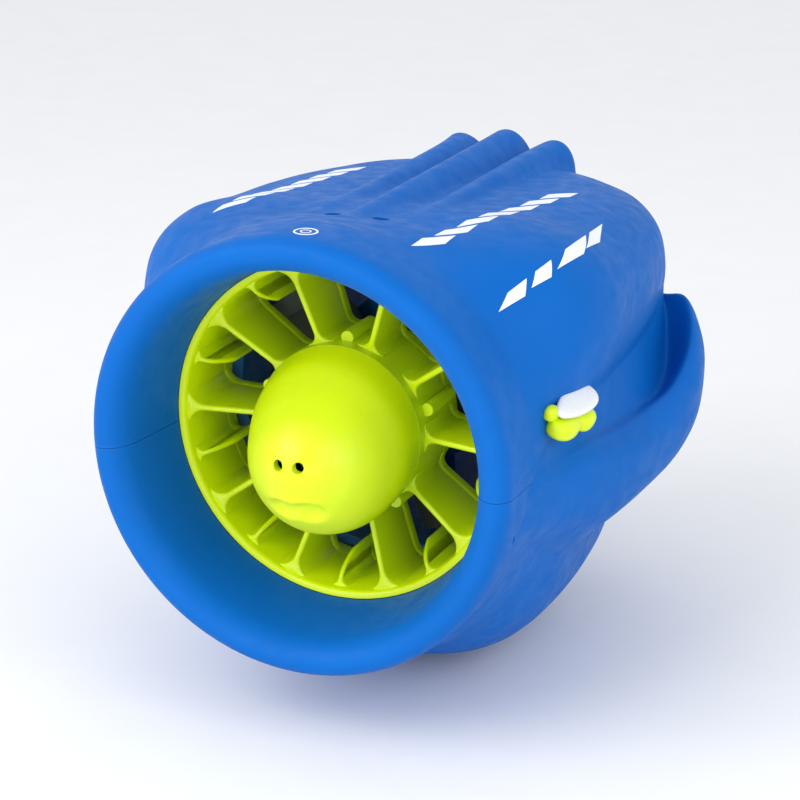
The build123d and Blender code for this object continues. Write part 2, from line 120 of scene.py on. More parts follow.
# ---- Hull form ----------------------------------------------------------------------------
RING_R = 137.0
LIP_R = 113.0
LIP_Y = -50.0
INTAKE_R = 84.0
WALL = 4.0
SEAM_Z = -6.0
SEAM_GAP = 0.35
FRONT_Y = 295.0
FRONT_ROUND = 10.0
INTAKE_LIP = 2.0
HULL_REAR = -18.0  # where the hull turns into the tail ring
RING_INNER_DEPTH = 5.0  # how deep the hollow inside the tail ring is

# right half of the full section, top to bottom: x, z
HALF_SECTION = [
    (0, 121),
    (54, 120.5),
    (102, 117),
    (132, 108),
    (148, 92),
    (153, 70),
    (150, 46),
    (141, 22),
    (134, -2),
    (132, -32),
    (127, -64),
    (117, -103),
    (107, -130),
    (90, -151),
    (64, -168),
    (33, -174.5),
    (0, -176),
]
# y, share of that section, radius of the round it blends with, width, top and bottom scales
HULL_STATIONS = [
    (-16, 0.0, RING_R, 1.0, 1.0, 1.0),
    (10, 0.40, RING_R, 1.0, 1.04, 0.90),
    (38, 0.85, RING_R, 1.0, 1.03, 0.92),
    (75, 1.0, RING_R, 1.015, 1.03, 0.97),
    (110, 1.0, RING_R, 1.0, 1.0, 1.0),
    (162, 1.0, RING_R, 0.975, 0.98, 1.0),
    (215, 0.95, 130.0, 0.92, 0.955, 0.96),
    (250, 0.80, 118.0, 0.85, 0.945, 0.88),
    (278, 0.55, 108.0, 0.78, 0.92, 0.80),
    (296, 0.35, 101.0, 0.72, 0.90, 0.73),
]
# Tail ring from its outside round the lip into the funnel: y, radius
RING_FACE = [
    (-26, 137),
    (-48, 137),
    (-56, 135.6),
    (-60.4, 132),
    (-61.6, 127.5),
    (-60, 122.5),
    (-55.5, 118),
    (-48, 114.6),
    (-34, 112.4),
    (-14, 110.4),
    (2, 109),
]
RIDGES = [(-29.0, 124.5), (0.0, 129.5), (30.0, 124.5)]
RIDGE_CURVE = 0.06
RIDGE_BLEND = 3.0
RIDGE_NOSE = 289.0


def section_radius(y, angles):
    """Hull radius at y for angles from the top, turning to the right."""
    table = np.array(HULL_STATIONS, float)
    share, round_r, width, top, bottom = hermite(table[:, 0], table[:, 1:], [y])[0]
    share = min(max(share, 0.0), 1.0)
    half = np.array(HALF_SECTION, float)
    x = half[:, 0] * width
    z = half[:, 1] * np.where(half[:, 1] > 0, top, bottom)
    turn = np.arctan2(x, z)
    reach = np.hypot(x, z)
    turn_all = np.concatenate([-turn[:0:-1], turn, 2 * np.pi - turn[-2::-1], 2 * np.pi + turn[1:]])
    reach_all = np.concatenate([reach[:0:-1], reach, reach[-2::-1], reach[1:]])
    wrapped = np.mod(angles + np.pi, 2 * np.pi) - np.pi
    radius = hermite(turn_all, reach_all, wrapped)
    radius = share * radius + (1 - share) * round_r
    if y > 20:
        radius = with_ridges(y, wrapped, radius)
    return radius


def with_ridges(y, angles, radius):
    """Adds the three ridges, which stay level while the hull falls away forward."""
    ahead = np.abs(angles) < 0.7
    x = radius * np.sin(angles)
    for ridge_x, level in RIDGES:
        drop = max(0.0, y - RIDGE_NOSE) ** 2 * 0.5
        top = level - drop - RIDGE_CURVE * (x - ridge_x) ** 2
        ridge = np.where(ahead, top / np.cos(np.where(ahead, angles, 0.0)), 0.0)
        radius = np.where(ahead, soft_max(radius, np.maximum(ridge, 1.0), RIDGE_BLEND), radius)
    return radius


def section_point(y, angle, lift=0.0):
    """One point on the hull's outside."""
    radius = section_radius(y, np.array([angle]))[0] + lift
    return (radius * math.sin(angle), y, radius * math.cos(angle))


# ---- Mesh helpers -------------------------------------------------------------------------
def new_object(name, verts, faces, material, body, smooth_angle=35.0):
    mesh = bpy.data.meshes.new(name)
    mesh.from_pydata([tuple(v) for v in verts], [], faces)
    mesh.validate()
    bm = bmesh.new()
    bm.from_mesh(mesh)
    bmesh.ops.remove_doubles(bm, verts=bm.verts, dist=1e-6)
    bmesh.ops.recalc_face_normals(bm, faces=bm.faces)
    bm.to_mesh(mesh)
    bm.free()
    obj = bpy.data.objects.new(name, mesh)
    bpy.context.scene.collection.objects.link(obj)
    mesh.materials.append(material)
    sharpen(obj, smooth_angle)
    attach(obj, body)
    return obj


def sharpen(obj, angle):
    """Smooth shading with edges over the angle kept sharp."""
    obj.data.shade_smooth()
    obj.data.set_sharp_from_angle(angle=math.radians(angle))


def grid_faces(rows, columns, close_rows=False, close_columns=False, start=0):
    """Quads of a grid of points stored row after row."""
    faces = []
    row_count = rows if close_rows else rows - 1
    column_count = columns if close_columns else columns - 1
    for i in range(row_count):
        for j in range(column_count):
            a = start + i * columns + j
            b = start + i * columns + (j + 1) % columns
            c = start + ((i + 1) % rows) * columns + (j + 1) % columns
            d = start + ((i + 1) % rows) * columns + j
            faces.append((a, b, c, d))
    return faces


def triangulated_cap(points):
    """Triangles over a flat closed outline, which may be hollowed."""
    bm = bmesh.new()
    verts = [bm.verts.new(tuple(p)) for p in points]
    bm.faces.new(verts)
    bm.verts.index_update()
    bmesh.ops.triangulate(bm, faces=bm.faces[:], ngon_method="EAR_CLIP")
    triangles = [tuple(v.index for v in f.verts) for f in bm.faces]
    bm.free()
    return triangles


# ---- Skin: the two blue shells ------------------------------------------------------------
def skin_profile():
    """The skin's wall as rows; each row gives (y, radius at the angles) from a small function.
    It runs from the nose opening over the outside to the tail lip and back inside the wall."""
    rows = []

    def round_row(y, radius):
        rows.append((y, lambda angles, radius=radius: np.full_like(angles, radius)))

    def hull_row(y, at, inset):
        rows.append((y, lambda angles, at=at, inset=inset: section_radius(at, angles) - inset))

    def face_row(y, share, inset):
        def radius(angles):
            outer = section_radius(FRONT_Y - FRONT_ROUND, angles) - inset
            return INTAKE_R + share * (outer - INTAKE_R)

        rows.append((y, radius))

    for turn in np.linspace(90, 0, 5):
        angle = math.radians(turn)
        rise = INTAKE_LIP * (1 - math.sin(angle))
        rows.append(
            (
                FRONT_Y - INTAKE_LIP + INTAKE_LIP * math.cos(angle),
                lambda angles, rise=rise: np.full_like(angles, INTAKE_R + rise),
            )
        )
    for share in (0.2, 0.4, 0.6, 0.8):
        face_row(FRONT_Y, share, FRONT_ROUND)
    for turn in np.linspace(90, 0, 10):
        angle = math.radians(turn)
        hull_row(
            FRONT_Y - FRONT_ROUND + FRONT_ROUND * math.sin(angle),
            FRONT_Y - FRONT_ROUND + FRONT_ROUND * math.sin(angle) * 0.4,
            FRONT_ROUND * (1 - math.cos(angle)),
        )
    for y in np.linspace(FRONT_Y - FRONT_ROUND, HULL_REAR, 112)[1:]:
        hull_row(y, y, 0.0)
    for y, radius in open_curve(RING_FACE, 34):
        round_row(y, radius)
    round_row(STATOR_START - 0.2, LIP_R)
    middle = (RING_R + LIP_R) / 2
    half = (RING_R - LIP_R) / 2
    for turn in np.linspace(180, 0, 11):
        angle = math.radians(turn)
        round_row(
            LIP_Y + 1 - RING_INNER_DEPTH * math.sin(angle),
            middle + (half - WALL) * math.cos(angle),
        )
    for y in np.linspace(HULL_REAR, FRONT_Y - FRONT_ROUND, 40):
        hull_row(y, y, WALL)
    face_row(FRONT_Y - WALL, 0.9, WALL)
    face_row(FRONT_Y - WALL, 0.4, WALL)
    round_row(FRONT_Y - WALL, INTAKE_R)
    return rows


def seam_angle(radius_at, level):
    """Angle from the top at which a row crosses the seam level."""
    angle = np.array([math.pi / 2])
    for _ in range(6):
        angle = np.arccos(np.clip(level / radius_at(angle), -1, 1))
    return float(angle[0])


def build_shell(name, upper, material):
    columns = 241
    rows = skin_profile()
    level = SEAM_Z + (SEAM_GAP / 2 if upper else -SEAM_GAP / 2)
    points = []
    for y, radius_at in rows:
        edge = seam_angle(radius_at, level)
        if upper:
            angles = np.linspace(-edge, edge, columns)
        else:
            angles = np.linspace(edge, 2 * math.pi - edge, columns)
        radius = radius_at(angles)
        points.append(
            np.stack([radius * np.sin(angles), np.full(columns, y), radius * np.cos(angles)], 1)
        )
    points = np.array(points)
    count = len(rows)
    faces = grid_faces(count, columns, close_rows=True)
    for column in (0, columns - 1):
        cap = triangulated_cap(points[:, column])
        faces += [tuple(i * columns + column for i in triangle) for triangle in cap]
    verts = world(points.reshape(-1, 3))
    return new_object(name, verts, faces, material, "hull", 40)


# ---- Materials ----------------------------------------------------------------------------
def node_material(name, colour, roughness, variation=0.06, bump=0.02, scale=400.0, **inputs):
    """A moulded or turned surface: colour drift, fine grain in bump, uneven gloss, and a painted
    highlight on convex edges.
    """
    material = bpy.data.materials.new(name)
    material.use_nodes = True
    nodes, links = material.node_tree.nodes, material.node_tree.links
    shader = nodes["Principled BSDF"]
    place = nodes.new("ShaderNodeTexCoord").outputs["Object"]

    def noise_at(noise_scale, detail=4.0):
        node = nodes.new("ShaderNodeTexNoise")
        node.inputs["Scale"].default_value = noise_scale
        node.inputs["Detail"].default_value = detail
        links.new(place, node.inputs["Vector"])
        return node.outputs["Fac"]

    def mapped(value, low, high):
        node = nodes.new("ShaderNodeMapRange")
        node.inputs["From Min"].default_value = 0.3
        node.inputs["From Max"].default_value = 0.7
        node.inputs["To Min"].default_value = low
        node.inputs["To Max"].default_value = high
        links.new(value, node.inputs["Value"])
        return node.outputs["Result"]

    broad = noise_at(14.0)
    mix = nodes.new("ShaderNodeMix")
    mix.data_type = "RGBA"
    dark = [c * (1 - variation) for c in colour]
    light = [min(1.0, c * (1 + variation)) for c in colour]
    mix.inputs["A"].default_value = (*dark, 1)
    mix.inputs["B"].default_value = (*light, 1)
    links.new(mapped(broad, 0.0, 1.0), mix.inputs["Factor"])
    # painted highlight: convex edges are mixed towards a lighter copy of the colour, as if they
    # caught the light
    convex_edge_highlight = nodes.new("ShaderNodeNewGeometry").outputs["Pointiness"]
    edge_highlight_range = nodes.new("ShaderNodeMapRange")
    edge_highlight_range.inputs["From Min"].default_value = 0.54
    edge_highlight_range.inputs["From Max"].default_value = 0.66
    edge_highlight_range.inputs["To Max"].default_value = 0.25
    links.new(convex_edge_highlight, edge_highlight_range.inputs["Value"])
    edge_highlit_colour = nodes.new("ShaderNodeMix")
    edge_highlit_colour.data_type = "RGBA"
    links.new(edge_highlight_range.outputs["Result"], edge_highlit_colour.inputs["Factor"])
    links.new(mix.outputs["Result"], edge_highlit_colour.inputs["A"])
    edge_highlit_colour.inputs["B"].default_value = (*[min(1.0, c * 1.25 + 0.04) for c in colour], 1)
    links.new(edge_highlit_colour.outputs["Result"], shader.inputs["Base Color"])
    fine = noise_at(90.0, 6.0)
    links.new(mapped(fine, roughness * 0.8, roughness * 1.25), shader.inputs["Roughness"])
    grain = nodes.new("ShaderNodeBump")
    grain.inputs["Strength"].default_value = bump
    grain.inputs["Distance"].default_value = 0.0006
    links.new(noise_at(scale, 3.0), grain.inputs["Height"])
    links.new(grain.outputs["Normal"], shader.inputs["Normal"])
    for key, value in inputs.items():
        shader.inputs[key.replace("_", " ").title().replace("Ior", "IOR")].default_value = value
    return material


BLUE = (0.0, 0.115, 0.46)
YELLOW = (0.66, 0.83, 0.0)
blue = node_material("blue_shell", BLUE, 0.5, 0.05, 0.04, 900.0, specular_ior_level=0.12)
yellow = node_material("yellow_moulding", YELLOW, 0.34, 0.05, 0.10, 700.0, subsurface_weight=0.0)
white = node_material("white_plastic", (0.82, 0.83, 0.83), 0.25, 0.03, 0.05, 900.0)
steel = node_material("steel", (0.55, 0.55, 0.57), 0.28, 0.10, 0.10, 1200.0, metallic=1.0)
# painted shade: the hull's blue, darkened for the inside of the duct to stand in for the shade
# there
shaded_duct_blue = node_material("navy_plastic", (0.0, 0.10, 0.42), 0.5, 0.10, 0.25, 600.0)
grey = node_material("grey_plastic", (0.05, 0.055, 0.06), 0.45, 0.10, 0.25, 600.0)
rubber = node_material("rubber", (0.02, 0.02, 0.02), 0.65, 0.20, 0.3, 500.0)
aluminium = node_material("aluminium", (0.68, 0.68, 0.70), 0.30, 0.05, 0.1, 1200.0, metallic=1.0)
magnet = node_material("magnet", (0.35, 0.35, 0.37), 0.22, 0.05, 0.05, 900.0, metallic=1.0)
copper = node_material("copper", (0.62, 0.26, 0.12), 0.32, 0.15, 0.4, 300.0, metallic=1.0)
board = node_material("circuit_board", (0.01, 0.13, 0.04), 0.35, 0.15, 0.2, 300.0)
wrap = node_material("battery_wrap", (0.03, 0.03, 0.035), 0.30, 0.2, 0.15, 200.0)
glass = node_material("switch_glass", (0.7, 0.8, 0.8), 0.08, 0.02, 0.02, 900.0)
BY_SLOT = {
    "blue_shell": blue,
    "yellow_moulding": yellow,
    "white_plastic": white,
    "steel": steel,
    "navy_plastic": shaded_duct_blue,
    "grey_plastic": grey,
    "rubber": rubber,
    "aluminium": aluminium,
    "magnet": magnet,
    "copper": copper,
    "circuit_board": board,
    "battery_wrap": wrap,
    "switch_glass": glass,
}
for part in frame["record"]["subparts"]:
    node = frame["nodes"][part["node"]]
    node.data.materials.clear()
    node.data.materials.append(BY_SLOT[part["material_slot"]])

# ---- Shells -------------------------------------------------------------------------------
upper = build_shell("upper_skin", True, blue)
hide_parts("upper_shell")
lower = build_shell("lower_skin", False, blue)
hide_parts("lower_shell")

# ---- Wings: the handles, hollowed on top between the hull and a raised rim -----------------
# y, upper root level, then x and z of: hollow, crest, outside, underside; lower root level
WING = [
    (-40, 2, 132, -4, 133, -8, 134, -14, 132, -26, -38),
    (-12, 6, 137.5, -1, 139, -6, 140, -14, 137, -34, -52),
    (8, 14, 139, 0, 142, -6, 145, -15, 141, -38, -62),
    (40, 30, 144, 4, 150, -3, 155, -16, 150, -44, -84),
    (80, 34, 148, 2, 157, -5, 166, -20, 158, -52, -98),
    (120, 36, 151, 0, 163, -3, 172, -19, 164, -50, -100),
    (155, 40, 153, -3, 168, 6, 177, -12, 168, -44, -94),
    (185, 46, 150, 2, 167, 22, 176, 1, 167, -34, -84),
    (208, 52, 144, 16, 160, 35, 169, 12, 160, -22, -70),
    (226, 56, 136, 34, 149, 42, 156, 20, 148, -10, -52),
    (240, 54, 126, 38, 134, 36, 139, 18, 132, -4, -38),
]
ROOT_DEPTH = 14.0


def hull_at_level(y, level, lift):
    """The right-hand point of the hull's outside at a level."""
    angle = seam_angle(lambda angles: section_radius(y, angles), level)
    return np.array(section_point(y, angle, lift)[::2])


def build_wing(name, side, node):
    table = np.array(WING, float)
    stations = np.linspace(table[0, 0], table[-1, 0], 110)
    around = 120
    points = []
    for y, row in zip(stations, hermite(table[:, 0], table[:, 1:], stations)):
        high, low = row[0], row[-1]
        shaped = row[1:-1].reshape(-1, 2)
        outline = [
            hull_at_level(y, high, -3.0),
            hull_at_level(y, high - 0.32 * (high - shaped[0, 1]), 0.3),
            *shaped,
            hull_at_level(y, low + 0.25 * (shaped[-1, 1] - low), 1.0),
            hull_at_level(y, low, -3.0),
            hull_at_level(y, low + 0.4 * (high - low), -ROOT_DEPTH),
            hull_at_level(y, low + 0.7 * (high - low), -ROOT_DEPTH),
        ]
        loop = closed_curve(outline, around)
        points.append(np.stack([side * loop[:, 0], np.full(around, y), loop[:, 1]], 1))
    points = np.array(points)
    faces = grid_faces(len(stations), around, close_columns=True)
    faces += [tuple(range(around)), tuple((len(stations) - 1) * around + k for k in range(around))]
    obj = new_object(name, world(points.reshape(-1, 3)), faces, blue, "hull", 80)
    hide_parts(node)
    return obj


build_wing("wing_right", 1, "handle_right")
build_wing("wing_left", -1, "handle_left")

# ---- Wells, cut with hidden shapes --------------------------------------------------------
def rod_mesh(start, direction, radius, length, sides=32):
    """A closed cylinder in mm from start along direction, with a small chamfer at both ends."""
    axis = Vector(direction).normalized()
    side = axis.orthogonal().normalized()
    other = axis.cross(side)
    chamfer = min(0.4, radius * 0.2)
    rows = [(0, radius - chamfer), (chamfer, radius), (length - chamfer, radius)]
    rows.append((length, radius - chamfer))
    verts = []
    for along, ring in rows:
        for k in range(sides):
            turn = 2 * math.pi * k / sides
            offset = side * math.cos(turn) * ring + other * math.sin(turn) * ring
            verts.append(Vector(start) + axis * along + offset)
    faces = grid_faces(len(rows), sides, close_columns=True)
    faces += [tuple(reversed(range(sides))), tuple(len(verts) - sides + k for k in range(sides))]
    return verts, faces


def carve(obj, cutters):
    """Cuts rods out of obj and keeps the result as its mesh."""
    verts, faces = merged(cutters)
    mesh = bpy.data.meshes.new("cutter")
    mesh.from_pydata([tuple(v) for v in world(verts)], [], faces)
    bm = bmesh.new()
    bm.from_mesh(mesh)
    bmesh.ops.recalc_face_normals(bm, faces=bm.faces)
    bm.to_mesh(mesh)
    bm.free()
    cutter = bpy.data.objects.new("cutter", mesh)
    bpy.context.scene.collection.objects.link(cutter)
    cut = obj.modifiers.new("wells", "BOOLEAN")
    cut.operation = "DIFFERENCE"
    cut.object = cutter
    cut.solver = "EXACT"
    bpy.context.view_layer.update()
    graph = bpy.context.evaluated_depsgraph_get()
    result = bpy.data.meshes.new_from_object(obj.evaluated_get(graph))
    obj.modifiers.remove(cut)
    obj.data = result
    bpy.data.objects.remove(cutter)
    sharpen(obj, 35)


def merged(pieces):
    """One list of corners and faces from several."""
    verts, faces = [], []
    for piece_verts, piece_faces in pieces:
        start = len(verts)
        verts += [tuple(v) for v in piece_verts]
        faces += [tuple(index + start for index in face) for face in piece_faces]
    return verts, faces


WELL_X = 16.0
WELL_Y = 39.0
WELL_SEAT = 120.8
WELL_R = 5.2
WELL_LENGTH = 20.0
wells = []
for side in (-1, 1):
    wells.append(rod_mesh((side * WELL_X, WELL_Y, WELL_SEAT), (0, 0, 1), WELL_R, WELL_LENGTH))
carve(upper, wells)

# ---- Tail dome: an egg that is fuller below, with a two-lobed dimple under its tip ----------
# y, level of the centre, radius
DOME_STATIONS = [
    (6, 0.0, 54.0),
    (-9, -5.0, 52.5),
    (-22, -9.0, 48.0),
    (-35, -10.5, 41.5),
    (-48, -9.0, 32.0),
    (-57, -7.2, 22.0),
    (-62.5, -5.5, 12.5),
    (-65.2, -4.6, 5.0),
    (-65.8, -4.4, 0.6),
]
DOME_WALL = 4.0
DIMPLE_START = -20.0
DIMPLE_Z = -31.0
DIMPLE_SPREAD = 8.0
DIMPLE_DEPTH = 4.0
DIMPLE_WIDTH = 8.5
DIMPLE_HEIGHT = 6.5
DOME_SCREW_R = 3.5
DOME_BASE = 6.0
WELL_START = -80.0
DOME_SCREW_X = 6.5
DOME_SCREW_SEAT = -51.0


def build_dome():
    table = np.array(DOME_STATIONS, float)[::-1]
    around = 160
    steps = hermite(np.arange(len(table)), table, np.linspace(0, len(table) - 1, 110))
    points = []
    for y, level, radius in steps:
        for k in range(around):
            turn = 2 * math.pi * k / around
            x, z = radius * math.sin(turn), level + radius * math.cos(turn)
            push = 0.0
            if y < DIMPLE_START:
                for lobe in (-1, 1):
                    across = (x - lobe * DIMPLE_SPREAD) / DIMPLE_WIDTH
                    spread = math.hypot(across, (z - DIMPLE_Z) / DIMPLE_HEIGHT)
                    push += DIMPLE_DEPTH * math.exp(-(spread**4))
                ridge = math.hypot(x / 16, (z - DIMPLE_Z - 8.5) / 3.0)
                push -= 1.2 * math.exp(-(ridge**2))
            points.append((x * (1 - push / 60), y + push, z + push * 0.5))
    for y, level, radius in steps[::-1]:
        inner = max(radius - DOME_WALL, 0.4)
        inner_y = y + DOME_WALL if y < -10 else y
        for k in range(around):
            turn = 2 * math.pi * k / around
            inner_x, inner_z = inner * math.sin(turn), level + inner * math.cos(turn)
            points.append((inner_x, min(inner_y, DOME_BASE), inner_z))
    rows = 2 * len(steps)
    faces = grid_faces(rows, around, close_columns=True)
    faces += [tuple(range(around)), tuple((rows - 1) * around + k for k in range(around))]
    dome = new_object("dome_cover", world(points), faces, yellow, "hull", 60)
    wells = []
    for side in (-1, 1):
        start = (side * DOME_SCREW_X, WELL_START, 0)
        wells.append(rod_mesh(start, (0, 1, 0), DOME_SCREW_R, DOME_SCREW_SEAT - WELL_START))
    carve(dome, wells)
    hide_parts("tail_dome")


build_dome()

# ---- Guide vanes: flat blades that flare into the rim and the hub ---------------------------
VANE_COUNT = 10
VANE_PHASE = -1.5
VANE_REAR = 5.0
VANE_FRONT = 63.0
HUB_SETBACK = 9.0
STATOR_SPLIT = 54.2
STATOR_END = 66.0
RIM_INSIDE = 104.0
HUB_R = 54.0
VANE_HALF = 1.9
RIM_FILLET = 11.0
HUB_FILLET = 7.0
FIN_REACH = 17.0


def around_axis(profile, sides=180):
    """A closed profile of (y, radius) turned about the duct axis."""
    verts = []
    for y, radius in profile:
        for k in range(sides):
            turn = 2 * math.pi * k / sides
            verts.append((radius * math.cos(turn), y, radius * math.sin(turn)))
    return verts, grid_faces(len(profile), sides, close_rows=True, close_columns=True)


def blade(angle, start, end, inner_r, outer_r, rear_at, front_at, half_at):
    """A radial blade between two levels of y; each row is a rounded slot square to the radius."""
    turn = math.radians(angle)
    out = np.array([math.cos(turn), 0, math.sin(turn)])
    across = np.array([-math.sin(turn), 0, math.cos(turn)])
    reach = np.concatenate(
        [np.linspace(inner_r, inner_r + 9, 9), np.linspace(inner_r + 12, outer_r - 14, 10)]
    )
    reach = np.concatenate([reach, np.linspace(outer_r - 12, outer_r, 12)])
    verts = []
    for radius in reach:
        rear = max(rear_at(radius), start)
        front = min(front_at(radius), end)
        half = half_at(radius)
        nose = min(VANE_HALF, (front - rear) / 2.2)
        loop = []
        for k in range(9):
            swing = math.pi / 2 + math.pi * k / 8
            loop.append((rear + nose + nose * math.cos(swing), half * math.sin(swing)))
        for k in range(9):
            swing = -math.pi / 2 + math.pi * k / 8
            loop.append((front - nose + nose * math.cos(swing), half * math.sin(swing)))
        for y, side in loop:
            verts.append(out * radius + across * side + np.array([0, y, 0]))
    count = 18
    faces = grid_faces(len(reach), count, close_columns=True)
    faces += [tuple(range(count)), tuple((len(reach) - 1) * count + k for k in range(count))]
    return verts, faces


def fillet(distance, size):
    """How much thicker a blade is at a distance from the wall it runs into."""
    if distance >= size:
        return 0.0
    share = 1 - max(distance, 0.0) / size
    return size * (1 - math.sqrt(1 - share**2))


def vane_half(radius):
    swell = fillet(RIM_INSIDE - radius, RIM_FILLET) + fillet(radius - HUB_R, HUB_FILLET)
    return VANE_HALF + min(swell, 9.0)


def vane_rear(radius):
    return VANE_REAR + HUB_SETBACK * (RIM_INSIDE - radius) / (RIM_INSIDE - HUB_R) - fillet(
        RIM_INSIDE - radius, 5.0
    ) * 0.5


def build_vanes(name, node, start, end, rear_piece):
    rim_rear = [(2.2, 108.6), (2.2, 106.4), (3.2, 104.9), (5.4, 104.1)]
    rim_middle = [(start, 108.6), (start, RIM_INSIDE + 0.5), (start + 0.5, RIM_INSIDE)]
    profile = (rim_rear if rear_piece else rim_middle) + [
        (end - 0.5, RIM_INSIDE),
        (end, RIM_INSIDE + 0.5),
        (end, 108.6),
    ]
    hub_start = 6.4 if rear_piece else start
    hub = [(hub_start, HUB_R - 4), (hub_start, HUB_R - 0.5), (hub_start + 0.5, HUB_R)]
    hub += [(end - 0.5, HUB_R), (end, HUB_R - 0.5), (end, HUB_R - 4)]
    pieces = [around_axis(profile), around_axis(hub, 120)]
    if rear_piece:
        pieces.append(around_axis([(6.4, 8), (6.4, 52), (10.8, 52), (10.8, 8)], 90))
    for index in range(VANE_COUNT):
        angle = VANE_PHASE + 360 / VANE_COUNT * index
        pieces.append(
            blade(
                angle,
                start,
                end,
                HUB_R - 2.5,
                RIM_INSIDE + 2.5,
                vane_rear,
                lambda radius: VANE_FRONT,
                vane_half,
            )
        )
        middle = angle + 180 / VANE_COUNT
        pieces.append(
            blade(
                middle,
                start,
                end,
                RIM_INSIDE - FIN_REACH,
                RIM_INSIDE + 2.5,
                lambda radius: 8 + 20 * max(0.0, (RIM_INSIDE - radius) / FIN_REACH) ** 2.6,
                lambda radius: VANE_FRONT - 1,
                lambda radius: 1.5 + fillet(RIM_INSIDE - radius, 5.0),
            )
        )
        if rear_piece and index % 2 == 0:
            turn = math.radians(middle)
            foot = ((HUB_R + 2) * math.cos(turn), 18, (HUB_R + 2) * math.sin(turn))
            pieces.append(rod_mesh(foot, (0, 1, 0), 4.2, end - 18))
    verts, faces = merged(pieces)
    vanes = new_object(name, world(verts), faces, yellow, "hull", 38)
    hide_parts(node)


build_vanes("rear_vanes", "rear_guide_vanes", 5.0, STATOR_SPLIT - 0.4, True)
build_vanes("front_vanes", "front_guide_vanes", STATOR_SPLIT + 0.5, STATOR_END, False)


# ---- Thumb levers and their bases ---------------------------------------------------------
def pebble(centre, half, tilt, power=2.6, taper=0.0, dish=0.0, rows=40, around=64):
    """A rounded block; taper widens its front end, dish hollows its top, tilt leans it outward."""
    verts = []
    lean = math.radians(tilt)
    for i in range(1, rows):
        rise = -math.pi / 2 + math.pi * i / rows
        flat = abs(math.cos(rise)) ** (2 / power)
        height = math.copysign(abs(math.sin(rise)) ** (2 / power), math.sin(rise))
        for k in range(around):
            turn = 2 * math.pi * k / around
            along = flat * math.copysign(abs(math.cos(turn)) ** (2 / 2.2), math.cos(turn))
            side = flat * math.copysign(abs(math.sin(turn)) ** (2 / 2.2), math.sin(turn))
            side *= 1 + taper * along
            level = height * half[2]
            if height > 0 and dish:
                level -= dish * max(0.0, 1 - along**2 - side**2)
            x, y = side * half[0], along * half[1]
            verts.append(
                (
                    centre[0] + x * math.cos(lean) + level * math.sin(lean),
                    centre[1] + y,
                    centre[2] - x * math.sin(lean) + level * math.cos(lean),
                )
            )
    faces = grid_faces(rows - 1, around, close_columns=True)
    faces += [tuple(range(around)), tuple((rows - 2) * around + k for k in range(around))]
    return verts, faces


def mirrored(piece, side):
    verts, faces = piece
    return [(side * v[0], v[1], v[2]) for v in verts], faces


def build_lever(side, word):
    lobes = [
        pebble((143.5, 12, 19.5), (9.5, 14.0, 6.5), 24, 3.0, 0.05),
        pebble((145.5, 37, 17.0), (9.0, 11.5, 6.0), 28, 3.0, -0.05),
        pebble((139.5, 4, 29), (4.5, 6.5, 4.5), 20, 2.6),
        pebble((141.5, 26, 19), (7.0, 17.0, 5.5), 24, 3.0),
    ]
    verts, faces = merged([mirrored(lobe, side) for lobe in lobes])
    base = new_object(f"lever_base_{word}", world(verts), faces, yellow, "hull", 50)
    hidden = ["switch_block", "lever_pin", "reed_switch", "lever_spring"]
    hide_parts(*[f"{part}_{word}" for part in hidden])
    plate = pebble((145.5, 28, 29.5), (9.5, 27, 2.9), 35, 3.2, 0.34, 0.9)
    stem = pebble((144, 26, 24.0), (4.5, 9, 5.0), 25, 3.0)
    verts, faces = merged([mirrored(plate, side), mirrored(stem, side)])
    lever = new_object(f"lever_{word}", world(verts), faces, white, f"lever_{word}", 50)
    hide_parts(f"thumb_lever_{word}", f"lever_magnet_{word}")


build_lever(1, "right")
build_lever(-1, "left")

# ---- Printed marks: plain slanted bars and a plain ring -------------------------------------
MARK_LIFT = 0.25
MARK_DEPTH = 0.6
BAR_FILL = 0.62  # share of each step that a bar covers


def patch(corners, steps=10):
    """A thin film on the hull; corners are (y, angle in degrees), in order round it."""
    corners = np.array(corners, float)
    verts = []
    for lift in (MARK_LIFT, -MARK_DEPTH):
        for i in range(steps + 1):
            for j in range(steps + 1):
                u, v = i / steps, j / steps
                low = corners[0] * (1 - u) + corners[1] * u
                high = corners[3] * (1 - u) + corners[2] * u
                y, angle = low * (1 - v) + high * v
                verts.append(section_point(y, math.radians(angle), lift))
    side = steps + 1
    faces = grid_faces(side, side) + grid_faces(side, side, start=side * side)
    border = [j for j in range(side)] + [i * side + steps for i in range(1, side)]
    border += [steps * side + j for j in range(steps - 1, -1, -1)]
    border += [i * side for i in range(steps - 1, 0, -1)]
    for k, first in enumerate(border):
        second = border[(k + 1) % len(border)]
        faces.append((first, second, second + side * side, first + side * side))
    return verts, faces


def angle_at(x, y):
    """Angle from the top of the point across at x on the upper hull."""
    angle = math.asin(x / RING_R)
    for _ in range(8):
        angle = math.asin(max(-1.0, min(1.0, x / section_radius(y, np.array([angle]))[0])))
    return math.degrees(angle)


def shoulder_bars(count, start, end, half_width, slant):
    """Slanted bars in a row between two points (x, y) on a shoulder."""
    bars = []
    step = (np.array(end) - np.array(start)) / count
    for index in range(count):
        x, y = np.array(start) + step * index
        outer, inner = x + half_width, x - half_width
        near, far = y - slant, y + slant
        length = step[1] * BAR_FILL
        corners = [
            (near, angle_at(outer, near)),
            (near + length, angle_at(outer, near + length)),
            (far + length, angle_at(inner, far + length)),
            (far, angle_at(inner, far)),
        ]
        bars.append(patch(corners))
    return bars


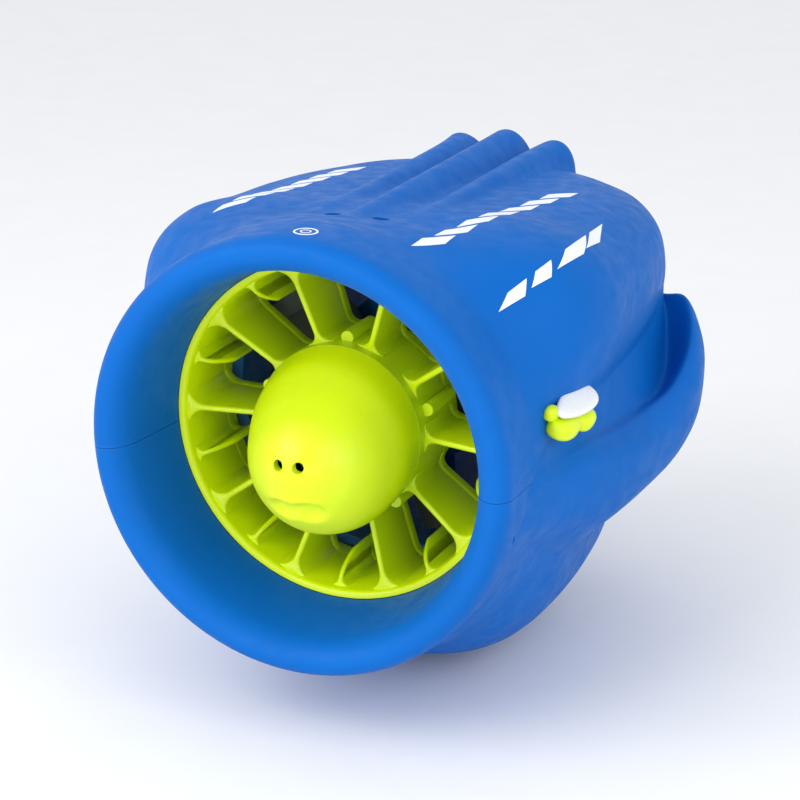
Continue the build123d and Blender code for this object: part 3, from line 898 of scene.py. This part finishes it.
def ring_mark(centre_y, centre_angle, radii):
    """A plain flat ring lying on the tail ring."""
    verts = []
    sides = 64
    for lift, radius in [(0.3, radii[0]), (0.3, radii[1]), (-0.6, radii[1]), (-0.6, radii[0])]:
        for k in range(sides):
            turn = 2 * math.pi * k / sides
            angle = centre_angle + radius * math.sin(turn) / RING_R
            y = centre_y + radius * math.cos(turn)
            verts.append(section_point(y, angle, lift))
    return verts, grid_faces(4, sides, close_rows=True, close_columns=True)


marks = shoulder_bars(7, (62, 4), (86, 186), 6.5, -10.0)
marks += shoulder_bars(7, (-94, 52), (-74, 204), 7.5, -8.0)
# y of the lower and of the upper edge of each bar on the right side
SIDE_BARS = [
    ((-6, 12), (6, 20)),
    ((18, 31), (27, 41)),
    ((38, 66), (58, 96)),
    ((74, 100), (106, 134)),
]
for low, high in SIDE_BARS:
    marks.append(patch([(low[0], 50.6), (low[1], 51.2), (high[1], 48.3), (high[0], 48.3)]))
RING_MARK_Y = -40
RING_MARK_ANGLE = 0.03
for radii in [(6.2, 7.4), (2.6, 3.4)]:
    marks.append(ring_mark(RING_MARK_Y, RING_MARK_ANGLE, radii))
mark_verts, mark_faces = merged(marks)
film = node_material("white_film", (0.80, 0.83, 0.86), 0.35, 0.03, 0.04, 900.0)
printed = new_object("printed_marks", world(mark_verts), mark_faces, film, "hull", 60)

# ---- Stage, light and camera --------------------------------------------------------------
CAMERA_AZIMUTH = 25.7
CAMERA_ELEVATION = 19.3
CAMERA_ROLL = -1.4
CAMERA_DISTANCE = 14 * RIM_R * MM
CAMERA_LENS = 111.7
AIM_RIGHT = 0.3706 * RIM_R * MM
AIM_UP = 0.1884 * RIM_R * MM


def camera_axes():
    azimuth, elevation = math.radians(CAMERA_AZIMUTH), math.radians(CAMERA_ELEVATION)
    roll = math.radians(CAMERA_ROLL)
    back = Vector(
        (
            math.sin(azimuth) * math.cos(elevation),
            -math.cos(azimuth) * math.cos(elevation),
            math.sin(elevation),
        )
    )
    level = Vector((math.cos(azimuth), math.sin(azimuth), 0))
    upright = back.cross(level)
    right = level * math.cos(roll) + upright * math.sin(roll)
    up = upright * math.cos(roll) - level * math.sin(roll)
    return right, up, back


def build_camera():
    right, up, back = camera_axes()
    data = bpy.data.cameras.new("view_camera")
    data.lens = CAMERA_LENS
    data.sensor_width = 36.0
    camera = bpy.data.objects.new("view_camera", data)
    bpy.context.scene.collection.objects.link(camera)
    camera.location = RIM + back * CAMERA_DISTANCE
    aim = RIM + right * AIM_RIGHT + up * AIM_UP
    behind = (camera.location - aim).normalized()
    across = up.cross(behind).normalized()
    rise = behind.cross(across)
    turn = Matrix((across, rise, behind)).transposed()
    camera.rotation_mode = "QUATERNION"
    camera.rotation_quaternion = turn.to_quaternion()
    bpy.context.scene.camera = camera


def area_light(name, place, target, size, power, colour=(1, 1, 1)):
    data = bpy.data.lights.new(name, "AREA")
    data.shape = "RECTANGLE"
    data.size, data.size_y = size
    data.energy = power
    data.color = colour
    light = bpy.data.objects.new(name, data)
    bpy.context.scene.collection.objects.link(light)
    light.location = place
    light.rotation_mode = "QUATERNION"
    light.rotation_quaternion = (Vector(target) - Vector(place)).to_track_quat("-Z", "Y")


def build_stage():
    floor_size = 14.0
    bm = bmesh.new()
    bmesh.ops.create_grid(bm, x_segments=1, y_segments=1, size=floor_size)
    mesh = bpy.data.meshes.new("floor")
    bm.to_mesh(mesh)
    bm.free()
    floor = bpy.data.objects.new("floor", mesh)
    bpy.context.scene.collection.objects.link(floor)
    floor.location.z = -0.0005
    floor.data.materials.append(node_material("pale_floor", (0.86, 0.86, 0.86), 0.8, 0.01, 0.0, 60))
    world_data = bpy.data.worlds.new("studio")
    bpy.context.scene.world = world_data
    world_data.use_nodes = True
    background = world_data.node_tree.nodes["Background"]
    background.inputs["Color"].default_value = (0.95, 0.97, 1.0, 1)
    background.inputs["Strength"].default_value = 0.95
    area_light("key", (-0.9, -1.5, 1.3), (0, 0, 0.15), (1.8, 1.4), 22)
    area_light("fill", (1.6, -0.9, 0.9), (0, 0, 0.15), (1.6, 1.4), 10)
    area_light("low", (0.1, -1.6, 0.15), (0, -0.1, 0.15), (1.6, 0.6), 5)
    bpy.context.scene.view_settings.view_transform = "Standard"


build_stage()
build_camera()
